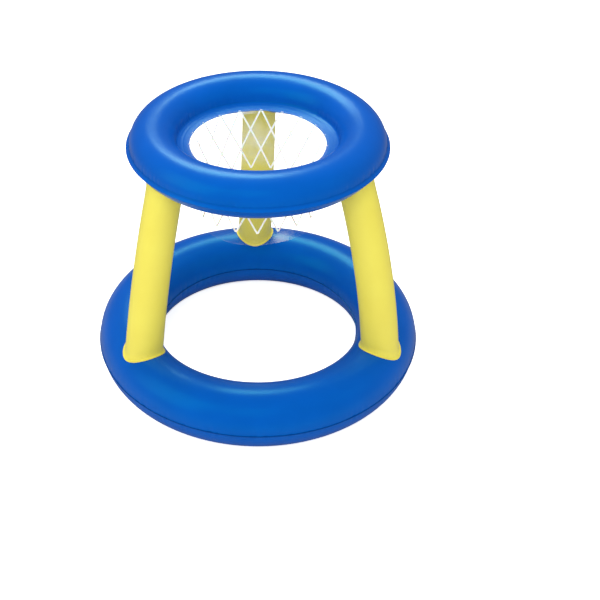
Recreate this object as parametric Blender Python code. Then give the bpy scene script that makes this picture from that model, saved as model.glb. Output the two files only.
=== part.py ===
"""Floating basketball hoop, inflated: a base ring, three legs, a top ring with a net, and two valves.

Each ring is two welded sheets of vinyl film, an upper and a lower skin, with nothing but air inside.
Metres, +Z up. The origin is on the floor, at the centre of the base ring. One leg stands at +Y.
Run it with blender --background --python part.py, or from Blender's text editor.
"""
import math
from collections import namedtuple

import bmesh
import bpy
from mathutils import Matrix, Vector

MM = 0.001

# Film and welds
SKIN = 0.4 * MM                   # thickness of the vinyl film
SEAT_GAP = 0.3 * MM               # left between two pieces that touch
CUT_OVERRUN = 4 * MM              # how far a cutter passes what it cuts

# Base ring: it floats, and stands on the flat facet at its foot
BASE_RING_RADIUS = 247.9 * MM     # to the middle of the tube
BASE_TUBE_HALF_WIDTH = 56.6 * MM
BASE_TUBE_HALF_HEIGHT = 56.6 * MM
BASE_WELD = 1.5 * MM              # width of the weld flanges, inside and outside

# Top ring: the hoop itself
TOP_RING_RADIUS = 178.8 * MM
TOP_RING_HEIGHT = 463.9 * MM      # floor to the middle of the tube
TOP_TUBE_HALF_WIDTH = 39.4 * MM
TOP_TUBE_HALF_HEIGHT = 36 * MM
TOP_OUTER_WELD = 6 * MM
TOP_OUTER_DROOP = 3 * MM          # the flange's edge hangs this far below its root
TOP_INNER_WELD = 22.8 * MM        # the wide flange that carries the net
TOP_INNER_DROOP = 6.9 * MM

RING_STEPS = 48                   # facets round a ring
ARC_STEPS = 9                     # facets over half a tube: odd, so crown and foot are flat

# Legs: each runs from the base ring's crown towards the middle of the top ring's tube
LEG_FOOT_OFFSET = 0.6 * MM        # foot's middle, outwards from the middle of the base ring's tube
LEG_HEAD_INSET = 6.6 * MM         # head's middle, inwards from the middle of the top ring's tube
LEG_FOOT_RADIUS = 34.2 * MM
LEG_HEAD_RADIUS = 30.4 * MM
LEG_SINK = 24 * MM                # how far a leg's blank runs into a ring before it is cut
FOOT_CREASE_SPREAD = 1.6 * MM     # the flare's points, outwards from the leg and up from its seat
FOOT_CREASE_RISE = 1.6 * MM
FOOT_FLARE_SPREAD = 0.6 * MM
FOOT_FLARE_RISE = 4.5 * MM
FOOT_FLARE_END = 10 * MM
HEAD_CREASE_SPREAD = 1.8 * MM
HEAD_CREASE_RISE = 1.6 * MM
HEAD_FLARE_END = 8 * MM
FOOT_LIP_REACH = 3.4 * MM         # the weld lip's width outside the leg
HEAD_LIP_REACH = 3 * MM
LIP_THICKNESS = 0.8 * MM
AIR_HOLE_RADIUS = 5 * MM          # lets a leg fill from the base ring
LEG_SIDES = 28
LEG_MIDDLE_ROWS = 3
SEAT_SEARCH_STEPS = 30
MIDDLE_SHARE = 0.5                # half way up a leg, clear of both rings
BACK_LEG_BOW = 5 * MM             # how far the inflated leg bows outwards at mid height
LEFT_LEG_BOW = 5.5 * MM
RIGHT_LEG_BOW = 10.5 * MM
# Azimuths of the foot and of the head in degrees: the legs lean a little to one side
LEGS = (("back_leg", 88.5, 86, BACK_LEG_BOW), ("left_leg", 210.9, 209.6, LEFT_LEG_BOW),
        ("right_leg", 331, 328.7, RIGHT_LEG_BOW))

# Net: a clear film skirt welded on the inner flange, with a white diamond lattice printed inside
FILM = 0.4 * MM
NET_RIM = 5 * MM                  # width of the band welded on the flange
NET_LENGTH = 137 * MM             # flange to hem
NET_HEM_RADIUS = 110 * MM
NET_HEM_BAND = 24 * MM            # clear film below the lattice's tips
NET_LINE = 3.2 * MM               # width of a printed line
NET_PRINT = 0.3 * MM              # thickness of the printed lattice
NET_DIAMONDS = 19                 # round the skirt
NET_ROWS = 3                      # half diamonds, top to bottom

# Valves: one on the outer side of each ring, behind, on the second facet above the weld
VALVE_ARC_FACET = 1
BASE_VALVE_RING_FACET = 8
TOP_VALVE_RING_FACET = 15
COLLAR_RADIUS = 9 * MM
COLLAR_THICKNESS = 0.8 * MM
NECK_WALL = 0.8 * MM
NECK_DEPTH = 12 * MM              # the collar's sleeve, below the skin
STEM_RADIUS = 5.1 * MM
STEM_BORE_RADIUS = 3.6 * MM
STEM_DEPTH = 15 * MM              # below the skin, pushed home
STEM_RIM_RADIUS = 7 * MM
STEM_RIM_THICKNESS = 1.2 * MM
PLUG_HEAD_RADIUS = 6.4 * MM
PLUG_HEAD_THICKNESS = 1.4 * MM
PLUG_DEPTH = 7 * MM               # the shank's length
PLUG_TAPER = 0.5 * MM             # the shank's tip is this much smaller in radius
PLUG_EDGE = 0.4 * MM              # chamfer round the head
TAB_LENGTH = 6 * MM               # finger tab, past the head's edge
TAB_WIDTH = 5 * MM
TAB_THICKNESS = 1 * MM
STRAP_WIDTH = 3 * MM
STRAP_THICKNESS = 0.7 * MM
STRAP_REACH = 3 * MM              # from the stem's rim to where the strap turns back
FLAP_RADIUS = 4.5 * MM
FLAP_THICKNESS = 0.6 * MM
VALVE_STEPS = 20                  # facets round a valve
BEND_STEPS = 4                    # facets round the strap's bend and the tab's end

# Colours as sRGB, roughness and opacity
FINISHES = {
    "blue_vinyl": ("0C5FC3", 0.32, 1),
    "yellow_vinyl": ("EBE35F", 0.38, 1),
    "clear_film": ("E6EEF2", 0.15, 0.35),
    "white_print": ("F8F8F6", 0.5, 1),
    "valve_vinyl": ("DDE6EC", 0.3, 1),
}
SHARP_ANGLE = math.radians(35)

Ring = namedtuple("Ring", "radius height half_width half_height outer_weld outer_droop inner_weld inner_droop")
Leg = namedtuple("Leg", "foot_azimuth head_azimuth bow")

WELD_FACE = SEAT_GAP / 2          # a skin's welded face, from the ring's mid plane
FACET_CHORD = math.cos(math.pi / RING_STEPS)      # a facet's middle, as a share of its corners' radius
# Spread and rise of each row of a flare, from the seat up the leg
FOOT_FLARES = ((FOOT_CREASE_SPREAD, FOOT_CREASE_RISE), (FOOT_FLARE_SPREAD, FOOT_FLARE_RISE),
               (0, FOOT_FLARE_END))
HEAD_FLARES = ((HEAD_CREASE_SPREAD, HEAD_CREASE_RISE), (0, HEAD_FLARE_END))


def base_ring():
    """The base ring, at the height that puts its flat foot on the floor."""
    rise = BASE_TUBE_HALF_HEIGHT - SKIN - WELD_FACE
    foot = WELD_FACE + SKIN + rise * math.cos(math.pi / (2 * ARC_STEPS))
    return Ring(BASE_RING_RADIUS, foot, BASE_TUBE_HALF_WIDTH, BASE_TUBE_HALF_HEIGHT, BASE_WELD, 0, BASE_WELD, 0)


def top_ring():
    """The hoop ring, whose weld flanges droop a little."""
    return Ring(TOP_RING_RADIUS, TOP_RING_HEIGHT, TOP_TUBE_HALF_WIDTH, TOP_TUBE_HALF_HEIGHT,
                TOP_OUTER_WELD, TOP_OUTER_DROOP, TOP_INNER_WELD, TOP_INNER_DROOP)


def clear_scene():
    """Remove what the scene holds."""
    for old in list(bpy.data.objects):
        bpy.data.objects.remove(old, do_unlink=True)


def linear(channel):
    """One sRGB channel, 0 to 1, as linear light."""
    return channel / 12.92 if channel <= 0.04045 else ((channel + 0.055) / 1.055) ** 2.4


def finish(name):
    """The Principled material of that name, made once."""
    if name in bpy.data.materials:
        return bpy.data.materials[name]
    code, roughness, opacity = FINISHES[name]
    colour = [linear(int(code[i:i + 2], 16) / 255) for i in (0, 2, 4)]
    material = bpy.data.materials.new(name)
    material.use_nodes = True
    shader = material.node_tree.nodes["Principled BSDF"]
    shader.inputs["Base Color"].default_value = (*colour, 1)
    shader.inputs["Roughness"].default_value = roughness
    shader.inputs["Metallic"].default_value = 0
    shader.inputs["Alpha"].default_value = opacity
    material.diffuse_color = (*colour, opacity)
    return material


def add_object(name, bm, material=None, parent=None):
    """Turn a bmesh into an object with outward faces, smooth over shallow edges."""
    bmesh.ops.recalc_face_normals(bm, faces=bm.faces)
    mesh = bpy.data.meshes.new(name)
    bm.to_mesh(mesh)
    bm.free()
    mesh.shade_smooth()
    mesh.set_sharp_from_angle(angle=SHARP_ANGLE)
    piece = bpy.data.objects.new(name, mesh)
    piece.parent = parent
    bpy.context.collection.objects.link(piece)
    if material:
        mesh.materials.append(finish(material))
    return piece


def add_tool(name, bm, parent=None):
    """An object that only cuts or joins others."""
    tool = add_object(name, bm, parent=parent)
    tool.hide_render = True
    tool.display_type = "WIRE"
    return tool


def combine(target, tool, operation):
    """Apply a tool to a piece with an exact Boolean."""
    modifier = target.modifiers.new(tool.name, "BOOLEAN")
    modifier.operation = operation
    modifier.object = tool
    modifier.solver = "EXACT"


def revolve(outline, steps):
    """Spin a closed outline of (radius, height) points once round Z."""
    bm = bmesh.new()
    corners = [bm.verts.new((radius, 0, height)) for radius, height in outline]
    edges = [bm.edges.new(pair) for pair in zip(corners, corners[1:] + corners[:1])]
    bmesh.ops.spin(bm, geom=corners + edges, cent=(0, 0, 0), axis=(0, 0, 1),
                   angle=2 * math.pi, steps=steps, use_merge=True)
    bmesh.ops.remove_doubles(bm, verts=bm.verts, dist=SEAT_GAP / 100)
    return bm


def loft(rows):
    """Join rows of points, each a closed loop, with quads, and cap both ends."""
    bm = bmesh.new()
    loops = [[bm.verts.new(point) for point in row] for row in rows]
    for low, high in zip(loops, loops[1:]):
        for i in range(len(low)):
            bm.faces.new((low[i - 1], low[i], high[i], high[i - 1]))
    bm.faces.new(loops[0])
    bm.faces.new(loops[-1])
    return bm


def prism(outline, half_width):
    """Extrude an outline of (y, z) points along X, to both sides."""
    bm = bmesh.new()
    face = bm.faces.new([bm.verts.new((-half_width, y, z)) for y, z in outline])
    walls = bmesh.ops.extrude_face_region(bm, geom=[face])["geom"]
    moved = [item for item in walls if isinstance(item, bmesh.types.BMVert)]
    bmesh.ops.translate(bm, verts=moved, vec=(2 * half_width, 0, 0))
    return bm


def arc(steps):
    """Unit directions over half a tube, from its outer side over the crown to its inner side."""
    return [(math.cos(math.pi * i / steps), math.sin(math.pi * i / steps)) for i in range(steps + 1)]


def tube_arc(ring, side, grow=0):
    """Outer surface of one skin's half tube, as (radius, height); side is 1 above, -1 below."""
    rise = ring.half_height - SKIN - WELD_FACE + grow
    return [(ring.radius + (ring.half_width + grow) * across,
             ring.height + side * (WELD_FACE + SKIN + rise * up)) for across, up in arc(ARC_STEPS)]


def skin_outline(ring, side):
    """Outline of one welded skin: half a tube with a flange along each side."""
    outer_edge = ring.radius + ring.half_width + ring.outer_weld
    inner_edge = ring.radius - ring.half_width - ring.inner_weld
    weld_face = ring.height + side * WELD_FACE
    weld_back = weld_face + side * SKIN
    rise = ring.half_height - SKIN - WELD_FACE
    inside = [(ring.radius + (ring.half_width - SKIN) * across, weld_face + side * rise * up)
              for across, up in arc(ARC_STEPS)]
    outer_flange = [(outer_edge, weld_face - ring.outer_droop), (outer_edge, weld_back - ring.outer_droop)]
    inner_flange = [(inner_edge, weld_back - ring.inner_droop), (inner_edge, weld_face - ring.inner_droop)]
    return outer_flange + tube_arc(ring, side) + inner_flange + inside[::-1]


def full_tube(ring, grow):
    """The whole tube as a solid, grown on all sides."""
    return revolve(tube_arc(ring, 1, grow) + tube_arc(ring, -1, grow)[::-1], RING_STEPS)


def add_ring_skins(name, ring):
    """The lower and the upper skin of a ring."""
    lower = add_object(f"{name}_lower_skin", revolve(skin_outline(ring, -1), RING_STEPS), "blue_vinyl")
    upper = add_object(f"{name}_upper_skin", revolve(skin_outline(ring, 1), RING_STEPS), "blue_vinyl")
    return lower, upper


def leg_centre(leg, share):
    """Point on a leg's bowed axis; share is 0 at the base ring's crown and 1 in the top ring's tube."""
    base = base_ring()
    foot_radius = BASE_RING_RADIUS + LEG_FOOT_OFFSET
    foot_height = base.height + base.half_height
    head_radius = TOP_RING_RADIUS - LEG_HEAD_INSET
    radius = foot_radius + (head_radius - foot_radius) * share + 4 * leg.bow * share * (1 - share)
    height = foot_height + (TOP_RING_HEIGHT - foot_height) * share
    azimuth = leg.foot_azimuth + (leg.head_azimuth - leg.foot_azimuth) * share
    return Vector((radius * math.cos(azimuth), radius * math.sin(azimuth), height))


def leg_length():
    """Length of a leg's axis, from the base ring's crown to the middle of the top ring's tube."""
    straight = Leg(0, 0, 0)
    return (leg_centre(straight, 1) - leg_centre(straight, 0)).length


def leg_point(leg, share, turn, spread):
    """Point on a leg's surface, at an angle round its axis, spread outwards from its radius."""
    nudge = SEAT_GAP / leg_length()
    along = (leg_centre(leg, share + nudge) - leg_centre(leg, share - nudge)).normalized()
    centre = leg_centre(leg, share)
    outwards = Vector((-centre.y, centre.x, 0)).cross(along).normalized()
    sideways = along.cross(outwards)
    radius = LEG_FOOT_RADIUS + (LEG_HEAD_RADIUS - LEG_FOOT_RADIUS) * share + spread
    return centre + radius * (math.cos(turn) * outwards + math.sin(turn) * sideways)


def inside_tube(ring, point):
    """Whether a point lies in a ring's round tube."""
    across = (math.hypot(point.x, point.y) - ring.radius) / ring.half_width
    up = (point.z - ring.height) / ring.half_height
    return across * across + up * up < 1


def seat_share(leg, ring, turn, spread, buried, free):
    """Where a line along the leg meets a ring's tube, between a buried and a free share."""
    for _ in range(SEAT_SEARCH_STEPS):
        middle = (buried + free) / 2
        if inside_tube(ring, leg_point(leg, middle, turn, spread)):
            buried = middle
        else:
            free = middle
    return free


def leg_lines(leg, turn, hollow):
    """Shares and spreads of one line of points up a leg, from end to end."""
    sink = LEG_SINK / leg_length()
    low_end = -sink
    high_end = 1 - (TOP_TUBE_HALF_HEIGHT - LEG_SINK) / leg_length()
    base, top = base_ring(), top_ring()
    foot = [(seat_share(leg, base, turn, spread, low_end, MIDDLE_SHARE) + rise / leg_length(), spread)
            for spread, rise in FOOT_FLARES]
    head = [(seat_share(leg, top, turn, spread, high_end, MIDDLE_SHARE) - rise / leg_length(), spread)
            for spread, rise in HEAD_FLARES][::-1]
    first, last = foot[-1][0], head[0][0]
    middle = [(first + (last - first) * (i + 1) / (LEG_MIDDLE_ROWS + 1), 0) for i in range(LEG_MIDDLE_ROWS)]
    if hollow:
        over = CUT_OVERRUN / leg_length()
        line = [(low_end - over, 0), foot[-1]] + middle + [head[0], (high_end + over, 0)]
        return [(share, -SKIN) for share, _ in line]
    return [(low_end, foot[0][1])] + foot + middle + head + [(high_end, head[-1][1])]


def leg_blank(leg, hollow):
    """A leg's outer form, or its hollow."""
    turns = [2 * math.pi * i / LEG_SIDES for i in range(LEG_SIDES)]
    lines = [[leg_point(leg, share, turn, spread) for share, spread in leg_lines(leg, turn, hollow)]
             for turn in turns]
    return loft(zip(*lines))


def leg_collar(leg, ends, reach):
    """A short drum round a leg's end, which the weld lip is cut from."""
    turns = [2 * math.pi * i / LEG_SIDES for i in range(LEG_SIDES)]
    return loft([[leg_point(leg, share, turn, reach) for turn in turns] for share in ends])


def add_leg(name, leg, upper_skin):
    """One leg tube with a weld lip at each end, seated on both rings, and its air hole."""
    over = CUT_OVERRUN / leg_length()
    sink = LEG_SINK / leg_length()
    head_end = 1 - (TOP_TUBE_HALF_HEIGHT - LEG_SINK) / leg_length()
    tube = add_object(name, leg_blank(leg, False), "yellow_vinyl")
    seats = ((base_ring(), (over - sink, sink), FOOT_LIP_REACH, "foot"),
             (top_ring(), (head_end - 2 * sink, head_end - over), HEAD_LIP_REACH, "head"))
    for ring, ends, reach, end in seats:
        lip = add_tool(f"{name}_{end}_lip", leg_collar(leg, ends, reach))
        shell = add_tool(f"{name}_{end}_lip_surface", full_tube(ring, SEAT_GAP + LIP_THICKNESS))
        combine(lip, shell, "INTERSECT")
        combine(tube, lip, "UNION")
    combine(tube, add_tool(f"{name}_hollow", leg_blank(leg, True)), "DIFFERENCE")
    for ring, _, _, end in seats:
        combine(tube, add_tool(f"{name}_{end}_seat", full_tube(ring, SEAT_GAP)), "DIFFERENCE")
    turns = [2 * math.pi * i / VALVE_STEPS for i in range(VALVE_STEPS)]
    narrow = AIR_HOLE_RADIUS - LEG_FOOT_RADIUS
    drill = [[leg_point(leg, share, turn, narrow) for turn in turns] for share in (-over, over)]
    combine(upper_skin, add_tool(f"{name}_air_drill", loft(drill)), "DIFFERENCE")
    return tube


def net_levels():
    """Radius and height of the film's outer surface at the throat, and its hem's height."""
    ring = top_ring()
    edge = ring.radius - ring.half_width - ring.inner_weld
    throat = edge * FACET_CHORD - SEAT_GAP
    height = flange_top(throat) + SEAT_GAP
    return edge, throat, height, height - NET_LENGTH


def flange_top(radius):
    """Height of the inner flange's upper side at a radius, on its slope carried on past the edge."""
    ring = top_ring()
    root = ring.radius - ring.half_width
    return ring.height + WELD_FACE + SKIN - ring.inner_droop * (root - radius) / ring.inner_weld


def add_net_skirt():
    """The clear film: a band on the flange that turns down through the hoop into a skirt."""
    edge, throat, height, hem = net_levels()
    rim = edge + NET_RIM
    rim_height = flange_top(rim) + SEAT_GAP
    outline = [(rim, rim_height), (rim, rim_height + FILM), (throat - FILM, height + FILM),
               (NET_HEM_RADIUS - FILM, hem), (NET_HEM_RADIUS, hem), (throat, height)]
    return add_object("net_skirt", revolve(outline, 2 * NET_DIAMONDS), "clear_film")


def add_net_lattice():
    """The white diamonds on the skirt's inner side: lines that cross at nodes, half a diamond a row."""
    _, throat, height, hem = net_levels()
    column = math.pi / NET_DIAMONDS

    def radius_at(level):
        share = (height - level) / (height - hem)
        return throat + (NET_HEM_RADIUS - throat) * share - FILM - SEAT_GAP

    def on_facet(angle, level):
        local = angle % column - column / 2
        radius = radius_at(level) * math.cos(column / 2) / math.cos(local)
        return (radius * math.cos(angle), radius * math.sin(angle), level)

    across = column * (throat + NET_HEM_RADIUS) / 2
    drop = height - hem - NET_HEM_BAND
    steepness = drop / NET_ROWS / across
    half_tall = NET_LINE / 2 * math.hypot(1, steepness)
    half_wide = half_tall / steepness
    down = (drop - 2 * half_tall) / NET_ROWS

    bm = bmesh.new()
    nodes = {}
    for row in range(NET_ROWS + 1):
        level = height - half_tall - row * down
        for i in range((row + NET_ROWS) % 2, 2 * NET_DIAMONDS, 2):
            angle = i * column
            reach = half_wide / radius_at(level)
            spots = ((angle, level + half_tall), (angle - reach, level),
                     (angle, level - half_tall), (angle + reach, level))
            top, left, bottom, right = [bm.verts.new(on_facet(*spot)) for spot in spots]
            nodes[row, i] = (top, left, bottom, right)
            bm.faces.new((top, left, bottom))
            bm.faces.new((top, bottom, right))
    for (row, i), (_, left, bottom, right) in nodes.items():
        if row == NET_ROWS:
            continue
        to_right = nodes[row + 1, (i + 1) % (2 * NET_DIAMONDS)]
        to_left = nodes[row + 1, (i - 1) % (2 * NET_DIAMONDS)]
        bm.faces.new((right, bottom, to_right[1], to_right[0]))
        bm.faces.new((bottom, left, to_left[0], to_left[3]))
    lattice = add_object("net_lattice", bm, "white_print")
    solidify = lattice.modifiers.new("print", "SOLIDIFY")
    solidify.thickness = NET_PRINT
    solidify.offset = -1
    solidify.use_even_offset = True
    return lattice


def valve_seat(name, ring, ring_facet):
    """An empty on the skin, in the middle of a facet, with +Z out of the ring and +Y up the tube."""
    (low_radius, low), (high_radius, high) = tube_arc(ring, 1)[VALVE_ARC_FACET:VALVE_ARC_FACET + 2]
    up = Vector(((high_radius - low_radius) * FACET_CHORD, 0, high - low)).normalized()
    out = Vector((up.z, 0, -up.x))
    turned = Matrix((up.cross(out), up, out)).transposed().to_4x4()
    turned.translation = ((low_radius + high_radius) / 2 * FACET_CHORD, 0, (low + high) / 2)
    azimuth = (ring_facet + 0.5) * 2 * math.pi / RING_STEPS
    seat = bpy.data.objects.new(f"{name}_seat", None)
    seat.matrix_world = Matrix.Rotation(azimuth, 4, "Z") @ turned
    bpy.context.collection.objects.link(seat)
    return seat


def valve_collar_outline():
    """Flange on the skin, with a sleeve that goes in through the skin's hole."""
    sleeve = STEM_RADIUS + SEAT_GAP
    top = SEAT_GAP + COLLAR_THICKNESS
    return [(sleeve, -NECK_DEPTH), (sleeve + NECK_WALL, -NECK_DEPTH), (sleeve + NECK_WALL, SEAT_GAP),
            (COLLAR_RADIUS, SEAT_GAP), (COLLAR_RADIUS, top), (sleeve, top)]


def stem_rim_base():
    """Height of the stem's rim above the skin, pushed home."""
    return SEAT_GAP + COLLAR_THICKNESS + SEAT_GAP


def plug_base():
    """Height of the plug's head above the skin, pushed home."""
    return stem_rim_base() + STEM_RIM_THICKNESS + SEAT_GAP


def valve_stem_outline():
    """Tube that slides in the collar's sleeve, with a rim that stops it."""
    rim = stem_rim_base()
    top = rim + STEM_RIM_THICKNESS
    return [(STEM_BORE_RADIUS, -STEM_DEPTH), (STEM_RADIUS, -STEM_DEPTH), (STEM_RADIUS, rim),
            (STEM_RIM_RADIUS, rim), (STEM_RIM_RADIUS, top), (STEM_BORE_RADIUS, top)]


def valve_plug_outline():
    """Round head with a tapered shank."""
    base = plug_base()
    top = base + PLUG_HEAD_THICKNESS
    shank = STEM_BORE_RADIUS - SEAT_GAP
    return [(0, base - PLUG_DEPTH), (shank - PLUG_TAPER, base - PLUG_DEPTH), (shank, base),
            (PLUG_HEAD_RADIUS, base), (PLUG_HEAD_RADIUS, top - PLUG_EDGE),
            (PLUG_HEAD_RADIUS - PLUG_EDGE, top), (0, top)]


def tab_blank():
    """Finger tab with a round end, from inside the plug's head to past its edge."""
    start = PLUG_HEAD_RADIUS / 2
    end = PLUG_HEAD_RADIUS + TAB_LENGTH - TAB_WIDTH / 2
    level = plug_base() + (PLUG_HEAD_THICKNESS - TAB_THICKNESS) / 2
    turns = [math.pi * i / (2 * BEND_STEPS) for i in range(2 * BEND_STEPS + 1)]
    round_end = [(TAB_WIDTH / 2 * math.cos(turn), end + TAB_WIDTH / 2 * math.sin(turn)) for turn in turns]
    outline = [(TAB_WIDTH / 2, start)] + round_end + [(-TAB_WIDTH / 2, start)]
    return loft([[(x, y, level + lift) for x, y in outline] for lift in (0, TAB_THICKNESS)])


def strap_blank():
    """Strap from the stem's rim out and back to the plug's head, as a prism across Y and Z."""
    low = stem_rim_base() + STEM_RIM_THICKNESS / 2
    high = plug_base() + PLUG_HEAD_THICKNESS / 2
    middle = (low + high) / 2
    bend = STEM_RIM_RADIUS + SEAT_GAP + STRAP_REACH
    turns = [math.pi * (i / (2 * BEND_STEPS) - 0.5) for i in range(2 * BEND_STEPS + 1)]
    outer = (high - low + STRAP_THICKNESS) / 2
    inner = (high - low - STRAP_THICKNESS) / 2
    outside = [(bend + outer * math.cos(turn), middle + outer * math.sin(turn)) for turn in turns]
    inside = [(bend + inner * math.cos(turn), middle + inner * math.sin(turn)) for turn in turns]
    stem_end = STEM_RIM_RADIUS + SEAT_GAP
    plug_end = PLUG_HEAD_RADIUS + SEAT_GAP
    half = STRAP_THICKNESS / 2
    outline = [(stem_end, low - half)] + outside + [(plug_end, high + half), (plug_end, high - half)]
    outline += inside[::-1] + [(stem_end, low + half)]
    return prism([(-y, z) for y, z in outline], STRAP_WIDTH / 2)


def flap_outline():
    """Round check flap, about its own middle."""
    half = FLAP_THICKNESS / 2
    return [(0, -half), (FLAP_RADIUS, -half), (FLAP_RADIUS, half), (0, half)]


def add_valve(name, ring, ring_facet, upper_skin):
    """Collar, stem, plug, strap and check flap, on one axis out of the skin."""
    seat = valve_seat(name, ring, ring_facet)
    hole = STEM_RADIUS + SEAT_GAP + NECK_WALL + SEAT_GAP
    drill = revolve([(0, -CUT_OVERRUN), (hole, -CUT_OVERRUN), (hole, CUT_OVERRUN), (0, CUT_OVERRUN)],
                    VALVE_STEPS)
    combine(upper_skin, add_tool(f"{name}_drill", drill, seat), "DIFFERENCE")
    add_object(f"{name}_collar", revolve(valve_collar_outline(), VALVE_STEPS), "valve_vinyl", seat)
    add_object(f"{name}_stem", revolve(valve_stem_outline(), VALVE_STEPS), "valve_vinyl", seat)
    plug = add_object(f"{name}_plug", revolve(valve_plug_outline(), VALVE_STEPS), "valve_vinyl", seat)
    combine(plug, add_tool(f"{name}_tab", tab_blank(), seat), "UNION")
    add_object(f"{name}_strap", strap_blank(), "valve_vinyl", seat)
    disc = revolve(flap_outline(), VALVE_STEPS)
    bmesh.ops.translate(disc, verts=disc.verts, vec=(0, -FLAP_RADIUS, 0))
    flap = add_object(f"{name}_flap", disc, "valve_vinyl", seat)
    flap.location = (0, FLAP_RADIUS, -STEM_DEPTH - SEAT_GAP - FLAP_THICKNESS / 2)


def main():
    """Build the whole hoop."""
    clear_scene()
    _, base_upper = add_ring_skins("base_ring", base_ring())
    _, top_upper = add_ring_skins("top_ring", top_ring())
    for name, foot, head, bow in LEGS:
        add_leg(name, Leg(math.radians(foot), math.radians(head), bow), base_upper)
    add_net_skirt()
    add_net_lattice()
    add_valve("base_valve", base_ring(), BASE_VALVE_RING_FACET, base_upper)
    add_valve("top_valve", top_ring(), TOP_VALVE_RING_FACET, top_upper)


main()
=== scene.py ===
"""Looks of the inflated floating basketball hoop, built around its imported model.

Every piece starts as the film it is made of: turned for the rings and the valves, rolled from a flat sheet
for the legs, the net and the straps. Metres, +Z up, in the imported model's own frame.
"""
import math
from collections import namedtuple
from functools import partial

import bmesh
import bpy
import numpy as np
from bpy.props import FloatProperty, FloatVectorProperty, PointerProperty
from mathutils import Matrix, Vector, noise


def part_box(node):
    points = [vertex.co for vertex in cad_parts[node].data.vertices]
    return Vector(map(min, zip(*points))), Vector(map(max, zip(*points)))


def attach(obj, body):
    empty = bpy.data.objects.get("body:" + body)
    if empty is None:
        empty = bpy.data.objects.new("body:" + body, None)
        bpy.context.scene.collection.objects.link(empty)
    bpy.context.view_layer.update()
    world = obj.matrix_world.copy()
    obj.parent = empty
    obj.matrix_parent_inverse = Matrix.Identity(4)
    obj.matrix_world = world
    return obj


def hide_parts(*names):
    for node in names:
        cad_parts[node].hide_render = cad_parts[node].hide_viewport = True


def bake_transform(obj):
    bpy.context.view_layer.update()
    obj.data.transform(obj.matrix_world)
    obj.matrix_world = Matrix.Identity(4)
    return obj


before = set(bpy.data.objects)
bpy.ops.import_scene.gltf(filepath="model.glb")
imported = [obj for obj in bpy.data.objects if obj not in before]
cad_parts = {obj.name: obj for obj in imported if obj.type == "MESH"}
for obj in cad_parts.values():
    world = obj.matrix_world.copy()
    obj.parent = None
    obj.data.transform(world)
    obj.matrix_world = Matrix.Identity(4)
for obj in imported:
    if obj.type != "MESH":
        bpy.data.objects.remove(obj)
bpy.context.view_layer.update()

bl_info = {
    "name": "Floating Basketball Hoop",
    "version": (1, 0, 0),
    "blender": (4, 5, 0),
    "location": "3D View > Sidebar > Hoop",
    "description": "Models an inflated floating basketball hoop with a clear net and two valves",
    "category": "Add Mesh",
}

MM = 0.001
BODY = "hoop"

# Film and welds
FILM = 0.4 * MM                   # thickness of the vinyl
WELD_GAP = 0.03 * MM              # half of what is left between two welded sheets
SEAT_GAP = 0.3 * MM               # between a piece and what it is welded on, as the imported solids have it
WIDE_WELD = 3 * MM                # a narrower flange is plain
RING_STEPS = 640
ARC_STEPS = 40                    # over half a tube
FLANGE_STEP = 1 * MM
OUTER_DROOP_POWER = 1.2           # the outer flange bends down a little more towards its edge,
INNER_DROOP_POWER = 0.35          # and the inner one right at its root, where the tube bulges over it
# A fillet softens the corner between tube and flange, and takes up no more than a share of the flange
FILLET_STEPS = 6
FILLET_SHARE = 0.6
OUTER_FILLET = 1.2 * MM
INNER_FILLET = 3 * MM
# Ridges pressed into the wide flange by the welding tool: distance from its root, height, half width
RIDGES = ((5 * MM, 0.4 * MM, 0.9 * MM), (11.5 * MM, 0.3 * MM, 0.8 * MM))
INNER_WAVE = 0.6 * MM             # how far a flange's edge strays from its plain cone
OUTER_WAVE = 0.5 * MM
PUCKER_SPACING = 13 * MM
PUCKER_STRAY = 0.42               # of the spacing, to either side
PUCKER_WIDTHS = (2.2 * MM, 4.6 * MM)
PUCKER_DEPTHS = (0.15, 1)         # as roots of shares of the deepest
PUCKER_REACH = 0.22               # of half the tube's height, away from the weld
FOOT_SQUASH = 2.5 * MM            # the part of the base tube that its weight flattens

# Legs
HEAD_INSET = 6.6 * MM             # a head's middle lies this far inside the top tube's
LEG_COLUMNS = 144
LEG_MIDDLE_ROWS = 26
# Spread and rise from the seat, in millimetres: the welded lip, the crease over it, then the tube's swell
FOOT_ROWS = ((4.3, 0.15), (4.3, 0.6), (4.1, 0.9), (3.5, 0.95), (2.5, 0.9), (1.6, 1), (1.15, 1.7), (0.9, 2.8),
             (0.55, 4.5), (0.2, 6.3), (0, 8.3), (-0.2, 10), (-0.3, 11.6), (-0.1, 13.2), (0, 15.5), (0, 19),
             (0, 26))
HEAD_ROWS = ((3, 0.15), (3, 0.5), (2.8, 0.75), (2.3, 0.8), (1.75, 1.2), (1.1, 2.2), (0.6, 3.8), (0.2, 6),
             (-0.1, 7.6), (0, 9.5), (0, 14), (0, 21))
LEG_WALL = 0.7 * MM
SEAT_SEARCH_STEPS = 30
FOOT_SINK = -0.07                 # share of a leg at which the search for its foot's seat starts
HEAD_SINK = 11.3 * MM             # from a leg's upper end, to start the search for its head's
PLEATS = 34                       # small folds round a foot's flare
PLEAT_DEPTH = 0.22 * MM
PLEAT_HEIGHT = 5 * MM             # where they are deepest, above the lip,
PLEAT_FADE = 3.5 * MM             # and how fast they fade
DENT_SIZE = 30 * MM
DENT_DEPTH = 0.7 * MM
FOOT_DENTS = 0.6                  # a foot's dents are shallower than a head's
HEAD_SLACK, FOOT_SLACK = 45 * MM, 40 * MM    # the dents fade over this distance from an end,
HEAD_HELD, FOOT_HELD = 9 * MM, 14 * MM       # and the weld holds the film taut over this one

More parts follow.
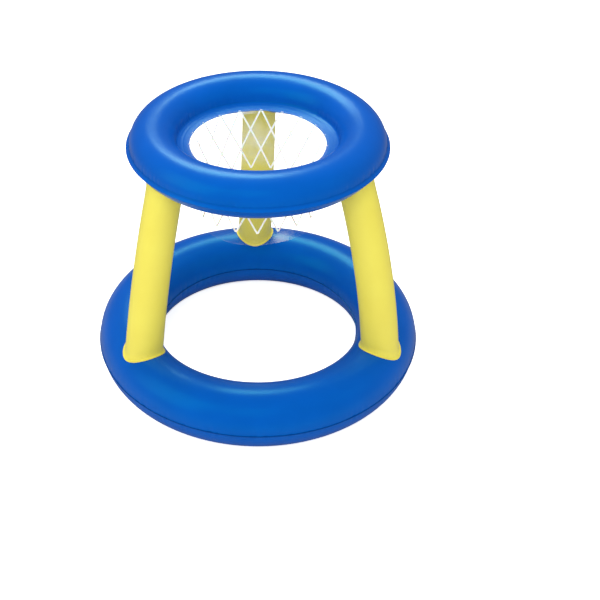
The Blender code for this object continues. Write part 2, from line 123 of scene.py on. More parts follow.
# Net
NET_COLUMNS = 494
NET_DIAMONDS = 19
NET_HALF_ROWS = 3
NET_BAND = 5 * MM                 # the part welded on the flange
THROAT_BEND = 2.2 * MM
BEND_ROWS = 12
HANG_ROWS = 48
LAP = 9 * MM                      # the film's ends overlap by this much
LAP_STEP = 0.55 * MM
LAP_RAMP = 34 * MM
LAP_START = 8 * MM                # below the throat, where the step is whole
LAP_AZIMUTH = math.radians(298)
SWAY_GROWTH = 1.2                 # power of the share of the way down
LONG_SWAY, SHORT_SWAY = 1.7, 0.9  # the short waves grow faster towards the hem
HEM_RIPPLE = 0.006                # share of its length by which the film's hem rises and falls
INK = 0.12 * MM
NET_FILM = 0.25 * MM
PRINT_RISE = 2.5 * MM             # the print starts this far up the flange
PRINT_CUTS = 8                    # along each line, so that it bends with the film
PRINT_TURN = math.radians(0.1)    # the print is not quite square on the hoop,
PRINT_DRIFT = math.radians(1.1)   # and the film was welded on a little unevenly

# Valves, in the frame of their seat: +Z out of the tube, +Y up it
PACKED_RING_FACETS = 48
PACKED_ARC_FACETS = 9
PACKED_WELD_FACE = 0.15 * MM
VALVE_ARC_FACET = 1
VALVE_STEPS = 72
VALVE_SINK = 2.6 * MM             # the pushed-in valve draws the film in by this much,
PRESSED_REACH = 1.1               # out to this many collar radii
DRILL_DEPTH = 8 * MM
COLLAR_RADIUS = 9 * MM
COLLAR_THICKNESS = 0.8 * MM
COLLAR_LIFT = 0.1 * MM            # its underside over the film
COLLAR_DRAFT = 0.25 * MM          # its side leans in by this much,
COLLAR_FALL = 0.2 * MM            # and its face slopes down to it
NECK_WALL = 0.8 * MM
NECK_DEPTH = 12 * MM
STEM_RADIUS = 5.1 * MM
STEM_BORE = 3.6 * MM
STEM_DEPTH = 15 * MM
RIM_RADIUS = 7 * MM
RIM_THICKNESS = 1.2 * MM
PLUG_RADIUS = 6.4 * MM
PLUG_THICKNESS = 1.4 * MM
PLUG_DEPTH = 7 * MM
PLUG_TAPER = 0.5 * MM
# A plug head's edge, crest and shallow dish, as shares of its radius and thickness
PLUG_FACE = ((1, 0.8), (0.86, 1), (0.8, 0.75))
TAB_ROOT = 0.84                   # share of the plug's radius
TAB_LENGTH = 3.5 * MM
TAB_WIDTH = 5 * MM
TAB_THICKNESS = 1 * MM
STRAP_WIDTH = 3 * MM
STRAP_THICKNESS = 0.7 * MM
STRAP_REACH = 3 * MM
STRAP_ROOT = 0.4 * MM             # its ends reach into the rim and the head by this much
STRAP_FLARE = 0.25                # it is this share wider at the rim,
STRAP_FADE = 0.9 * MM             # over this distance
STRAP_STEPS = 12                  # along each of its two flat runs
STRAP_BEND_STEPS = 24
STRAP_COLUMNS = 6
FLAP_RADIUS = 4.5 * MM
FLAP_THICKNESS = 0.6 * MM
EDGE = 0.18 * MM                  # soft edge that the mould leaves
EDGE_ANGLE = math.radians(30)

# Light and floor
WHITE = (1, 1, 1, 1)
AIM = Vector((0, 0, 0.25))        # the point between the rings that the lamps face
FLOOR_GLOW = 0.75                 # what the camera sees in addition to the lit paper
FLAG = (0.25, 0.25, 0.25, 1)      # the paper's colour in the gloss of the film
SURROUND = 0.62                   # strength of the light from all round,
SURROUND_IN_GLOSS = 0.1           # and of what the film's gloss shows of it

Ring = namedtuple("Ring", "radius height half_width half_height outer_weld outer_droop inner_weld "
                          "inner_droop seed valve_facet")
# A foot's middle stands foot_out outside the base tube's
Leg = namedtuple("Leg", "name foot_azimuth head_azimuth foot_out bow")
# A patch of painted glare on the net's film: its middle and half width in degrees, its level and half height,
# and how white it gets
GlarePatch = namedtuple("GlarePatch", "middle width level tall strength")
# A lamp's direction in degrees and its distance, from AIM; the film's gloss shows a lamp that glints
Lamp = namedtuple("Lamp", "name azimuth elevation distance size watts glints")

LEGS = tuple(Leg(name, math.radians(foot), math.radians(head), out * MM, bow * MM)
             for name, foot, head, out, bow in (("back_leg", 88.5, 86, 0.6, 5),
                                                ("left_leg", 209, 209.6, -4.4, 5.5),
                                                ("right_leg", 329.3, 328.7, 3.1, 10.5)))
LAMPS = (Lamp("softbox_back", 98, 52, 2.3, 0.96, 22, True), Lamp("softbox_left", 205, 32, 2.4, 1.8, 13, True),
         Lamp("softbox_right", -25, 30, 2.4, 0.9, 6, False), Lamp("softbox_top", 80, 78, 2.6, 0.8, 12, False),
         Lamp("softbox_front", 260, 44, 2.8, 1.2, 30, False))


def linear(code):
    """An sRGB hex colour as linear light."""
    channels = [int(code[i:i + 2], 16) / 255 for i in (0, 2, 4)]
    return [c / 12.92 if c <= 0.04045 else ((c + 0.055) / 1.055) ** 2.4 for c in channels]


def length(name, default, description):
    """A length that the panel shows."""
    return FloatProperty(name=name, description=description, default=default, unit="LENGTH")


def colour(name, code, description):
    """A colour that the panel shows."""
    return FloatVectorProperty(name=name, description=description, subtype="COLOR", size=3, min=0, max=1,
                               default=linear(code))


base_low, base_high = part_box("base_ring_upper_skin")
top_low, top_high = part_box("top_ring_upper_skin")
net_low, net_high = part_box("net_skirt")


class HoopSizes(bpy.types.PropertyGroup):
    """Sizes of the inflated hoop."""
    base_width: length("Base Width", base_high.x - base_low.x, "Outer width of the base ring with its weld")
    base_tube: length("Base Tube", 0.1132, "Thickness of the inflated base tube")
    base_weld: length("Base Weld", 0.0015, "Width of the base ring's weld flanges")
    top_width: length("Top Width", top_high.x - top_low.x, "Outer width of the top ring with its weld")
    top_height: length("Top Height", 0.4639, "Floor to the middle of the top ring's tube")
    top_tube_width: length("Top Tube Width", 0.0788, "Thickness of the top tube across")
    top_tube_height: length("Top Tube Height", 0.072, "Thickness of the top tube up and down")
    top_outer_weld: length("Outer Weld", 0.006, "Width of the top ring's outer weld flange")
    top_outer_droop: length("Outer Droop", 0.0048, "How far the outer flange hangs at its edge")
    top_inner_weld: length("Inner Weld", 0.0228, "Width of the flange that carries the net")
    top_inner_droop: length("Inner Droop", 0.0069, "How far the inner flange hangs at its edge")
    pucker: length("Pucker", 0.0011, "Depth of the puckers that inflating leaves along a weld")
    foot_radius: length("Foot Radius", 0.0342, "Radius of a leg where it stands")
    head_radius: length("Head Radius", 0.0304, "Radius of a leg under the top ring")
    net_hem: length("Net Hem Radius", 0.110, "Radius of the net's lower edge")
    net_band: length("Net Clear Band", 0.024, "Clear film below the printed lattice")
    net_line: length("Net Line", 0.0031, "Width of a printed line")
    net_sway: length("Net Sway", 0.0024, "How far the film strays from a plain cone at its hem")


class HoopColours(bpy.types.PropertyGroup):
    """Colours of the vinyl, the print and the valves."""
    ring_blue: colour("Ring Blue", "0656B9", "Film of both rings")
    ring_shade: colour("Ring Shade", "054DA8", "The same film where it is a little denser")
    blue_sheen: colour("Blue Sheen", "10F4DA", "What the blue film's gloss does to white light")
    leg_yellow: colour("Leg Yellow", "E7DD58", "Film of the legs")
    leg_shade: colour("Leg Shade", "DFD04E", "The same film where it is a little denser")
    net_film: colour("Net Film", "F4F8FB", "Clear film of the net")
    ink_white: colour("Ink", "FFFDF4", "Printed lattice")
    valve_milk: colour("Valve", "DFE8EE", "Soft moulded vinyl of the valves")
    floor: colour("Floor", "F6F6F6", "Seamless paper under the hoop")


def sizes():
    """The sizes that the panel shows."""
    return bpy.context.scene.hoop_sizes


def base_ring():
    """The base ring, whose weld lies at the height of its two skins' parting."""
    s = sizes()
    half = s.base_tube / 2
    radius = s.base_width / 2 - s.base_weld - half
    return Ring(radius, base_low.z - SEAT_GAP / 2, half, half, s.base_weld, 0, s.base_weld, 0,
                seed=7, valve_facet=8)


def top_ring():
    """The hoop ring, with its drooping flanges."""
    s = sizes()
    half = s.top_tube_width / 2
    radius = s.top_width / 2 - s.top_outer_weld - half
    return Ring(radius, s.top_height, half, s.top_tube_height / 2, s.top_outer_weld, s.top_outer_droop,
                s.top_inner_weld, s.top_inner_droop, seed=19, valve_facet=15)


def unit(vectors):
    """Vectors in the last axis of an array, at a length of one."""
    vectors = np.asarray(vectors, float)
    return vectors / np.linalg.norm(vectors, axis=-1, keepdims=True)


def select_only(piece):
    """Make this object the only selected one, and the active one."""
    bpy.ops.object.select_all(action="DESELECT")
    piece.select_set(True)
    bpy.context.view_layer.objects.active = piece


def added(operator, **settings):
    """Run one of Blender's operators that add an object, and give that object."""
    bpy.ops.object.select_all(action="DESELECT")
    operator(**settings)
    return bpy.context.object


def apply_modifier(piece, kind, **settings):
    """Add a modifier and apply it at once."""
    select_only(piece)
    modifier = piece.modifiers.new(kind.lower(), kind)
    for key, value in settings.items():
        setattr(modifier, key, value)
    bpy.ops.object.modifier_apply(modifier=modifier.name)


def combine(piece, tool, operation):
    """Cut a tool's shape out of a piece or melt it into the piece, and take the tool away."""
    apply_modifier(piece, "BOOLEAN", operation=operation, object=tool, solver="EXACT")
    bpy.data.objects.remove(tool)


def edit_whole(piece, *steps):
    """Run mesh operators, given with their settings, on all of a piece."""
    select_only(piece)
    bpy.ops.object.mode_set(mode="EDIT")
    bpy.ops.mesh.select_all(action="SELECT")
    for operator, settings in steps:
        operator(**settings)
    bpy.ops.object.mode_set(mode="OBJECT")


def close_up(piece, merge=1e-6):
    """Merge doubled points and turn the faces outwards."""
    edit_whole(piece, (bpy.ops.mesh.remove_doubles, {"threshold": merge}),
               (bpy.ops.mesh.normals_make_consistent, {"inside": False}))


def reshape(piece, move):
    """Pass every point of a piece through a function of an array of points."""
    points = np.empty(len(piece.data.vertices) * 3)
    piece.data.vertices.foreach_get("co", points)
    piece.data.vertices.foreach_set("co", move(points.reshape(-1, 3)).ravel())
    piece.data.update()


def turned(name, outline, steps):
    """Turn a closed outline of (radius, height) points once round Z."""
    piece = added(bpy.ops.mesh.primitive_circle_add, vertices=len(outline), radius=1, fill_type="NOTHING")
    piece.name = piece.data.name = name
    for vertex, (radius, height) in zip(piece.data.vertices, outline):
        vertex.co = (radius, 0, height)
    apply_modifier(piece, "SCREW", angle=2 * math.pi, screw_offset=0, axis="Z", steps=steps,
                   render_steps=steps, use_merge_vertices=True, merge_threshold=1e-6, use_smooth_shade=False)
    close_up(piece)
    return piece


def rolled(name, columns, rows, place):
    """Roll a flat sheet into shape: place takes arrays of columns and rows and gives the points."""
    piece = added(bpy.ops.mesh.primitive_grid_add, x_subdivisions=columns, y_subdivisions=rows, size=1)
    piece.name = piece.data.name = name
    reshape(piece, lambda points: place(np.rint((points[:, 0] + 0.5) * columns).astype(int),
                                        np.rint((points[:, 1] + 0.5) * rows).astype(int)))
    close_up(piece)
    return piece


def smooth(piece, angle=40):
    """Shade a piece smooth over shallow edges."""
    select_only(piece)
    bpy.ops.object.shade_smooth_by_angle(angle=math.radians(angle))


def hand_over(piece, material, node, body=BODY):
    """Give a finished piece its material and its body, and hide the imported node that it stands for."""
    piece.data.materials.clear()
    piece.data.materials.append(material)
    if body:
        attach(piece, body)
    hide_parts(node)


# Materials

RGBA = {"data_type": "RGBA"}
SMOOTH = {"interpolation_type": "SMOOTHSTEP"}


def add_node(tree, kind, settings=(), **links):
    """Add a node, with its operation or its settings, and its sockets by value or by what feeds them."""
    node = tree.nodes.new("ShaderNode" + kind)
    if isinstance(settings, str):
        settings = {"operation": settings}
    for key, value in dict(settings).items():
        setattr(node, key, value)
    for key, value in links.items():
        numbered = key[0] == "i" and key[1:].isdigit()
        socket = node.inputs[int(key[1:]) if numbered else key.replace("_", " ")]
        if isinstance(value, bpy.types.Node):
            value = value.outputs[0]
        if isinstance(value, bpy.types.NodeSocket):
            tree.links.new(value, socket)
        else:
            socket.default_value = value
    return node


def emptied(owner):
    """Clear the nodes of a material or a world, and give the function that adds a node to it."""
    owner.use_nodes = True
    owner.node_tree.nodes.clear()
    return partial(add_node, owner.node_tree)


def vinyl(add, place, tint, shade, roughness, gloss_level, sheen, weld_heights):
    """Calendered vinyl film: an even dye with faint flow marks, a soft gloss, and fine puckers by welds."""
    flow = add("TexNoise", Vector=place, Scale=14, Detail=3, Roughness=0.5)
    dye = add("Mix", RGBA, i0=flow, i6=(*tint, 1), i7=(*shade, 1))
    gloss = add("TexNoise", Vector=place, Scale=55, Detail=4, Roughness=0.6)
    rough = add("MapRange", i0=gloss, i3=roughness - 0.03, i4=roughness + 0.04)
    # Rollers leave a faint orange peel, about 4 mm across and some hundredths deep
    peel = add("TexNoise", Vector=place, Scale=1 / (4 * MM), Detail=2, Roughness=0.4)
    bump = add("Bump", Strength=0.15, Distance=0.03 * MM, Height=peel)
    if weld_heights:
        split = add("SeparateXYZ", i0=place)
        height = split.outputs[2]
        gaps = [add("Math", "SUBTRACT", i0=height, i1=level) for level in weld_heights]
        gaps = [add("Math", "ABSOLUTE", i0=gap) for gap in gaps]
        near = add("Math", "MINIMUM", i0=gaps[0], i1=gaps[-1])
        mask = add("MapRange", SMOOTH, i0=near, i1=0, i2=13 * MM, i3=1, i4=0)
        # Puckers run up the tube, so their pattern changes fast round the ring and slowly with height
        flat = add("CombineXYZ", i0=split.outputs[0], i1=split.outputs[1])
        direction = add("VectorMath", "NORMALIZE", i0=flat)
        direction = add("VectorMath", "SCALE", i0=direction, Scale=30)
        lift = add("Math", "MULTIPLY", i0=height, i1=12)
        where = add("VectorMath", i0=direction, i1=add("CombineXYZ", i2=lift))
        crease = add("TexNoise", Vector=where, Scale=1.6, Detail=3, Roughness=0.6)
        crease = add("Math", "MULTIPLY", i0=crease, i1=mask)
        bump = add("Bump", Strength=0.2, Distance=0.7 * MM, Height=crease, Normal=bump)
        # Painted shade: a dark line along each weld stands in for the shade in the crease at the flange's
        # root, plainest on the narrow welds of the base
        for gap, strength in zip(gaps, (0.55, 0.15)):
            line = add("MapRange", SMOOTH, i0=gap, i1=0.5 * MM, i2=1.5 * MM, i3=strength, i4=0)
            dye = add("Mix", RGBA, i0=line, i6=dye.outputs[2], i7=(*[c * 0.3 for c in shade], 1))
    return add("BsdfPrincipled", Base_Color=dye.outputs[2], Roughness=rough, IOR=1.53,
               Specular_IOR_Level=gloss_level, Specular_Tint=(*sheen, 1), Normal=bump)


def glare_patch(add, angle, height, patch):
    """Nodes for the whiteness of a soft-edged patch of painted glare on the film."""
    shares = []
    middle, width = math.radians(patch.middle), math.radians(patch.width)
    for value, centre, half, most in ((angle, middle, width, patch.strength),
                                      (height, patch.level, patch.tall, 1)):
        off = add("Math", "SUBTRACT", i0=value, i1=centre)
        off = add("Math", "ABSOLUTE", i0=off)
        shares.append(add("MapRange", SMOOTH, i0=off, i1=0.1 * half, i2=half, i3=most, i4=0))
    return add("Math", "MULTIPLY", i0=shares[0], i1=shares[1])


def clear_film(add, place, tint, throat, hem):
    """Clear vinyl film: nearly invisible face on, milky at a glance, a little whiter along its hem, with
    patches of painted glare.
    """
    split = add("SeparateXYZ", i0=place)
    height = split.outputs[2]
    angle = add("Math", "ARCTAN2", i0=split.outputs[1], i1=split.outputs[0])
    haze = add("TexNoise", Vector=place, Scale=40, Detail=3)
    haze = add("MapRange", i0=haze, i1=0.35, i2=0.65, i3=0.4, i4=1.5)
    white = add("MapRange", SMOOTH, i0=height, i1=hem + 0.8 * MM, i2=hem + 2.2 * MM, i3=0.03, i4=0)
    # Painted glare whitens the film in patches: one at the hem beside the lap is a painted highlight, a large
    # one at the back paints light onto the back leg seen through it, and a small one just under the throat at
    # the back is partly film whitened where it bends and partly a painted glint
    for patch in (GlarePatch(-70, 13, hem + 4 * MM, 26 * MM, 0.17), GlarePatch(90, 40, throat - 62 * MM, 60 * MM, 0.15),
                  GlarePatch(97, 12, throat - 6 * MM, 4 * MM, 0.6)):
        share = add("Math", "MULTIPLY", i0=glare_patch(add, angle, height, patch), i1=haze)
        white = add("Math", "ADD", i0=white, i1=share)
    edge = add("LayerWeight", Blend=0.3)
    veil = add("MapRange", i0=edge.outputs["Facing"], i1=0.3, i2=1, i3=0.012, i4=0.12)
    alpha = add("Math", {"operation": "ADD", "use_clamp": True}, i0=veil, i1=white)
    ripple = add("TexNoise", Vector=place, Scale=60, Detail=2)
    bump = add("Bump", Strength=0.5, Distance=0.5 * MM, Height=ripple)
    return add("BsdfPrincipled", Base_Color=(*tint, 1), Roughness=0.08, IOR=1.53, Alpha=alpha, Normal=bump)


def screen_ink(add, place, tint):
    """Screen-printed ink: flat white with the mesh's faint grain."""
    # The screen's mesh is about 0.3 mm; it is drawn at 1 mm to show
    grain = add("TexNoise", Vector=place, Scale=1 / (1 * MM), Detail=2)
    tone = add("Mix", RGBA, i0=grain, i6=(*tint, 1), i7=(*[c * 0.95 for c in tint], 1))
    bump = add("Bump", Strength=0.2, Distance=0.05 * MM, Height=grain)
    return add("BsdfPrincipled", Base_Color=tone.outputs[2], Roughness=0.5, IOR=1.48, Subsurface_Weight=0.3,
               Subsurface_Scale=1 * MM, Normal=bump)


def moulded_vinyl(add, place, tint):
    """Soft injection-moulded vinyl: milky, satin, a little uneven."""
    cloud = add("TexNoise", Vector=place, Scale=120, Detail=3)
    tone = add("Mix", RGBA, i0=cloud, i6=(*tint, 1), i7=(*[c * 0.86 for c in tint], 1))
    rough = add("MapRange", i0=cloud, i3=0.26, i4=0.4)
    bump = add("Bump", Strength=0.2, Distance=0.04 * MM, Height=cloud)
    return add("BsdfPrincipled", Base_Color=tone.outputs[2], Roughness=rough, IOR=1.53,
               Subsurface_Weight=0.15, Subsurface_Scale=2 * MM, Normal=bump)


def material_named(name):
    """One of the hoop's materials, made when it is first asked for."""
    if name in bpy.data.materials:
        return bpy.data.materials[name]
    material = bpy.data.materials.new(name)
    add = emptied(material)
    place = add("TexCoord").outputs["Object"]
    c = bpy.context.scene.hoop_colours
    if name == "calendered_vinyl_blue":
        welds = (base_ring().height, top_ring().height)
        shader = vinyl(add, place, c.ring_blue, c.ring_shade, 0.29, 0.42, c.blue_sheen, welds)
    elif name == "calendered_vinyl_yellow":
        shader = vinyl(add, place, c.leg_yellow, c.leg_shade, 0.36, 0.4, (1, 1, 1), ())
    elif name == "clear_vinyl_film":
        shader = clear_film(add, place, c.net_film, net_high.z, net_low.z)
    elif name == "screen_ink_white":
        shader = screen_ink(add, place, c.ink_white)
    else:
        shader = moulded_vinyl(add, place, c.valve_milk)
    add("OutputMaterial", Surface=shader)
    return material


# Rings


def flange(root, direction, width, droop, face, lift=lambda distance: 0):
    """Points along one side of a flange, from beside its root to its edge; lift takes the distance."""
    count = max(2, round(width / FLANGE_STEP))
    shares = [(i + 1) / count for i in range(count)]
    power = OUTER_DROOP_POWER if direction > 0 else INNER_DROOP_POWER
    return [(root + direction * width * share, face - droop * share ** power + lift(width * share))
            for share in shares]


def filleted(tube, rim, root, direction, face, side, size):
    """A tube's and a flange's outer points, joined by a soft concave corner instead of a sharp one."""
    tube = [(radius, height) for radius, height in tube if side * (height - face) > size]
    rim = [(radius, height) for radius, height in rim if direction * (radius - root) > size]
    drop = rim[0][1] - face
    corner = [(root + direction * size * share ** 2,
               face + side * size * (1 - share) ** 2 + drop * share ** 2)
              for share in (i / FILLET_STEPS for i in range(1, FILLET_STEPS))]
    return tube, corner, rim


def skin_outline(ring, side):
    """Closed outline of one skin, with ridges on its wide flange; side is 1 for the upper skin, else -1."""
    face = ring.height + side * WELD_GAP
    back = face + side * FILM
    rise = ring.half_height - FILM - WELD_GAP

    def ridged(distance):
        if ring.inner_weld < WIDE_WELD:
            return 0
        return side * sum(tall * math.exp(-((distance - at) / wide) ** 2) for at, tall, wide in RIDGES)

    def half_tube(half_width, base):
        turns = [math.pi * i / ARC_STEPS for i in range(ARC_STEPS + 1)]
        return [(ring.radius + half_width * math.cos(turn), base + side * rise * math.sin(turn))
                for turn in turns]

    outer = (ring.radius + ring.half_width, 1, ring.outer_weld, ring.outer_droop)
    inner = (ring.radius - ring.half_width, -1, ring.inner_weld, ring.inner_droop)
    tube = half_tube(ring.half_width, back)
    tube, outer_corner, outer_rim = filleted(tube, flange(*outer, back), *outer[:2], back, side,
                                             min(OUTER_FILLET, FILLET_SHARE * ring.outer_weld))
    tube, inner_corner, inner_rim = filleted(tube, flange(*inner, back, ridged), *inner[:2], back, side,
                                             min(INNER_FILLET, FILLET_SHARE * ring.inner_weld))
    outside = outer_rim[::-1] + outer_corner[::-1] + tube + inner_corner + inner_rim
    inside = flange(*inner, face)[::-1] + half_tube(ring.half_width - FILM, face)[::-1] + flange(*outer, face)
    return outside + inside


def ring_puckers(ring, outer):
    """Angles, half widths and depths of the puckers along one weld."""
    rng = np.random.default_rng(ring.seed + outer)
    weld = ring.radius + (ring.half_width if outer else -ring.half_width)
    count = round(2 * math.pi * weld / PUCKER_SPACING)
    angles = (np.arange(count) + rng.uniform(-PUCKER_STRAY, PUCKER_STRAY, count)) * 2 * math.pi / count
    widths = rng.uniform(*PUCKER_WIDTHS, count) / weld
    depths = rng.uniform(*PUCKER_DEPTHS, count) ** 2
    return angles, widths, depths


def pucker_share(angle, puckers):
    """How deep the puckers are at each angle, as a share of the deepest."""
    total = np.zeros_like(angle)
    for at, width, depth in zip(*puckers):
        off = (angle - at + math.pi) % (2 * math.pi) - math.pi
        total += depth * np.exp(-(off / width) ** 2)
    return total


def wave(angle, seed, low, high):
    """A smooth wave round a ring, between -1 and 1, of harmonics shifted at random."""
    rng = np.random.default_rng(seed)
    total = sum(np.sin(n * angle + rng.uniform(0, 2 * math.pi)) / n for n in range(low, high))
    return total / sum(1 / n for n in range(low, high))


def flange_wave(angle, ring):
    """How far the edge of the wide flange lies from its plain cone."""
    return INNER_WAVE * wave(angle, ring.seed, 5, 16)


def inflated(points, ring):
    """Points of a skin with the puckers along its welds, its flanges' waves and the flat it stands on."""
    inner, outer = (ring_puckers(ring, outer) for outer in (False, True))
    depth = sizes().pucker
    reach = PUCKER_REACH * ring.half_height
    radius = np.hypot(points[:, 0], points[:, 1])
    angle = np.arctan2(points[:, 1], points[:, 0])
    from_middle = radius - ring.radius
    outwards = np.sign(from_middle)
    past = np.abs(from_middle) - ring.half_width
    weld = np.where(outwards > 0, ring.outer_weld, ring.inner_weld)
    share = np.clip(past / weld, 0, 1)
    off = np.where(share > 0, 0, np.abs(points[:, 2] - ring.height))
    drawn = np.where(outwards > 0, pucker_share(angle, outer), pucker_share(angle, inner))
    drawn = drawn * depth * np.exp(-(off / reach) ** 2) * (1 - share)
    wide = flange_wave(angle, ring) * share * (outwards < 0) * (ring.inner_weld > WIDE_WELD)
    narrow = (OUTER_WAVE * wave(angle, ring.seed + 5, 17, 60) * share * (outwards > 0)
              * (ring.outer_weld > WIDE_WELD))
    moved = points.copy()
    moved[:, 0] -= np.cos(angle) * outwards * drawn
    moved[:, 1] -= np.sin(angle) * outwards * drawn
    moved[:, 2] += wide + narrow
    lowest = ring.height - ring.half_height
    if lowest < 0:
        squashed = FOOT_SQUASH * (moved[:, 2] - lowest) / (FOOT_SQUASH - lowest)
        moved[:, 2] = np.where(moved[:, 2] < FOOT_SQUASH, squashed, moved[:, 2])
    return moved


def in_tube(points, ring, margin):
    """Which points lie inside a ring's tube when it is grown by a margin."""
    across = (np.hypot(points[:, 0], points[:, 1]) - ring.radius) / (ring.half_width + margin)
    up = (points[:, 2] - ring.height) / (ring.half_height + margin)
    return across * across + up * up < 1


def pressed(points, ring, seat):
    """Points of a skin with the film drawn flat under a valve's collar."""
    local = (points - np.array(seat.translation)) @ np.array(seat.to_3x3())
    inside = in_tube(points, ring, -FILM / 2)
    away = np.clip((np.hypot(local[:, 0], local[:, 1]) - PRESSED_REACH * COLLAR_RADIUS) / COLLAR_RADIUS, 0, 1)
    share = 1 - away * away * (3 - 2 * away)
    bulge = np.where(np.abs(local[:, 2]) < COLLAR_RADIUS, local[:, 2] + inside * FILM + VALVE_SINK, 0)
    return points - (share * bulge)[:, None] * np.array(seat.to_3x3().col[2])


def add_skin(name, ring, side, node):
    """One skin of a ring; the upper one has a hole for its valve."""
    piece = turned(name, skin_outline(ring, side), RING_STEPS)
    reshape(piece, lambda points: inflated(points, ring))
    if side > 0:
        seat = valve_seat(ring)
        reshape(piece, lambda points: pressed(points, ring, seat))
        drill = added(bpy.ops.mesh.primitive_cylinder_add, vertices=VALVE_STEPS, depth=DRILL_DEPTH,
                      radius=STEM_RADIUS + NECK_WALL + 2 * SEAT_GAP)
        drill.matrix_world = seat
        combine(piece, drill, "DIFFERENCE")
    smooth(piece)
    hand_over(piece, material_named("calendered_vinyl_blue"), node)


# Legs


def leg_centre(leg, share):
    """Points on a leg's bowed axis, from the base ring's crown to the middle of the top ring's tube."""
    base, top = base_ring(), top_ring()
    foot, head = base.radius + leg.foot_out, top.radius - HEAD_INSET
    foot_height = base.height + base.half_height
    radius = foot + (head - foot) * share + 4 * leg.bow * share * (1 - share)
    azimuth = leg.foot_azimuth + (leg.head_azimuth - leg.foot_azimuth) * share
    height = foot_height + (top.height - foot_height) * share
    return np.stack((radius * np.cos(azimuth), radius * np.sin(azimuth), height), axis=-1)


def leg_points(leg, share, turn, spread):
    """Points on a leg's surface, spread outwards from its radius."""
    nudge = 1e-3
    centre = leg_centre(leg, share)
    along = unit(leg_centre(leg, share + nudge) - leg_centre(leg, share - nudge))
    round_ring = np.stack((-centre[..., 1], centre[..., 0], 0 * centre[..., 0]), axis=-1)
    outwards = unit(np.cross(round_ring, along))
    sideways = np.cross(along, outwards)
    s = sizes()
    radius = (s.foot_radius + (s.head_radius - s.foot_radius) * share + spread)[..., None]
    return centre + radius * (np.cos(turn)[..., None] * outwards + np.sin(turn)[..., None] * sideways)


def seat_shares(leg, ring, turn, spread, buried):
    """Where lines up the leg leave a ring's tube, searched from a buried share to the leg's middle."""
    low, high = np.full_like(turn, buried), np.full_like(turn, 0.5)
    for _ in range(SEAT_SEARCH_STEPS):
        middle = (low + high) / 2
        within = in_tube(leg_points(leg, middle, turn, spread), ring, SEAT_GAP)
        low, high = np.where(within, middle, low), np.where(within, high, middle)
    return high


def leg_rows(leg, turn, length):
    """Shares and spreads of the leg's rows of points, from its foot's lip to its head's."""
    base, top = base_ring(), top_ring()
    foot = [(seat_shares(leg, base, turn, spread * MM, FOOT_SINK) + rise * MM / length, spread * MM)
            for spread, rise in FOOT_ROWS]
    head = [(seat_shares(leg, top, turn, spread * MM, 1 - HEAD_SINK / length) - rise * MM / length,
             spread * MM) for spread, rise in HEAD_ROWS][::-1]
    first, last = foot[-1][0], head[0][0]
    middle = [(first + (last - first) * (i + 1) / (LEG_MIDDLE_ROWS + 1), 0) for i in range(LEG_MIDDLE_ROWS)]
    rows = foot + middle + head
    return np.array([share for share, _ in rows]), np.array([spread for _, spread in rows])


def add_leg(leg):
    """One leg, rolled from a flat sheet, with its flares, lips, pleats and dents."""
    foot, head = leg_centre(leg, np.array((0.0, 1.0)))
    length = np.linalg.norm(head - foot)
    turns = 2 * math.pi * np.arange(LEG_COLUMNS) / LEG_COLUMNS
    shares, spreads = leg_rows(leg, turns, length)

    def place(column, row):
        column = column % LEG_COLUMNS
        turn, share, spread = turns[column], shares[row, column], spreads[row]
        foot_end = (share - shares[0, column]) * length
        head_end = (shares[-1, column] - share) * length
        flare = np.exp(-((foot_end - PLEAT_HEIGHT) / PLEAT_FADE) ** 2)
        pleat = np.sin(PLEATS * turn + 2 * np.sin(5 * turn)) * PLEAT_DEPTH * flare
        spots = leg_points(leg, share, turn, 0 * turn) / DENT_SIZE
        slack = np.exp(-(head_end / HEAD_SLACK) ** 2) + FOOT_DENTS * np.exp(-(foot_end / FOOT_SLACK) ** 2)
        held = np.clip(head_end / HEAD_HELD, 0, 1) * np.clip(foot_end / FOOT_HELD, 0, 1)
        dent = DENT_DEPTH * slack * held * np.array([noise.noise(Vector(spot)) for spot in spots])
        return leg_points(leg, share, turn, spread + pleat + dent)

    piece = rolled(leg.name + "_film", LEG_COLUMNS, len(spreads) - 1, place)
    middle = Vector(leg_centre(leg, np.array(0.5)))
    face = min(piece.data.polygons, key=lambda f: (f.center - middle).length)
    if face.normal.dot(face.center - middle) < 0:
        edit_whole(piece, (bpy.ops.mesh.flip_normals, {}))
    apply_modifier(piece, "SOLIDIFY", thickness=LEG_WALL, offset=-1)
    smooth(piece, 55)
    hand_over(piece, material_named("calendered_vinyl_yellow"), leg.name)


# Net


def net_span():
    """Throat's radius and height, and the film's length from the throat to its hem."""
    ring = top_ring()
    edge = ring.radius - ring.half_width - ring.inner_weld
    height = ring.height - ring.inner_droop + WELD_GAP + FILM + SEAT_GAP
    return edge - SEAT_GAP - NET_FILM, height, height - net_low.z


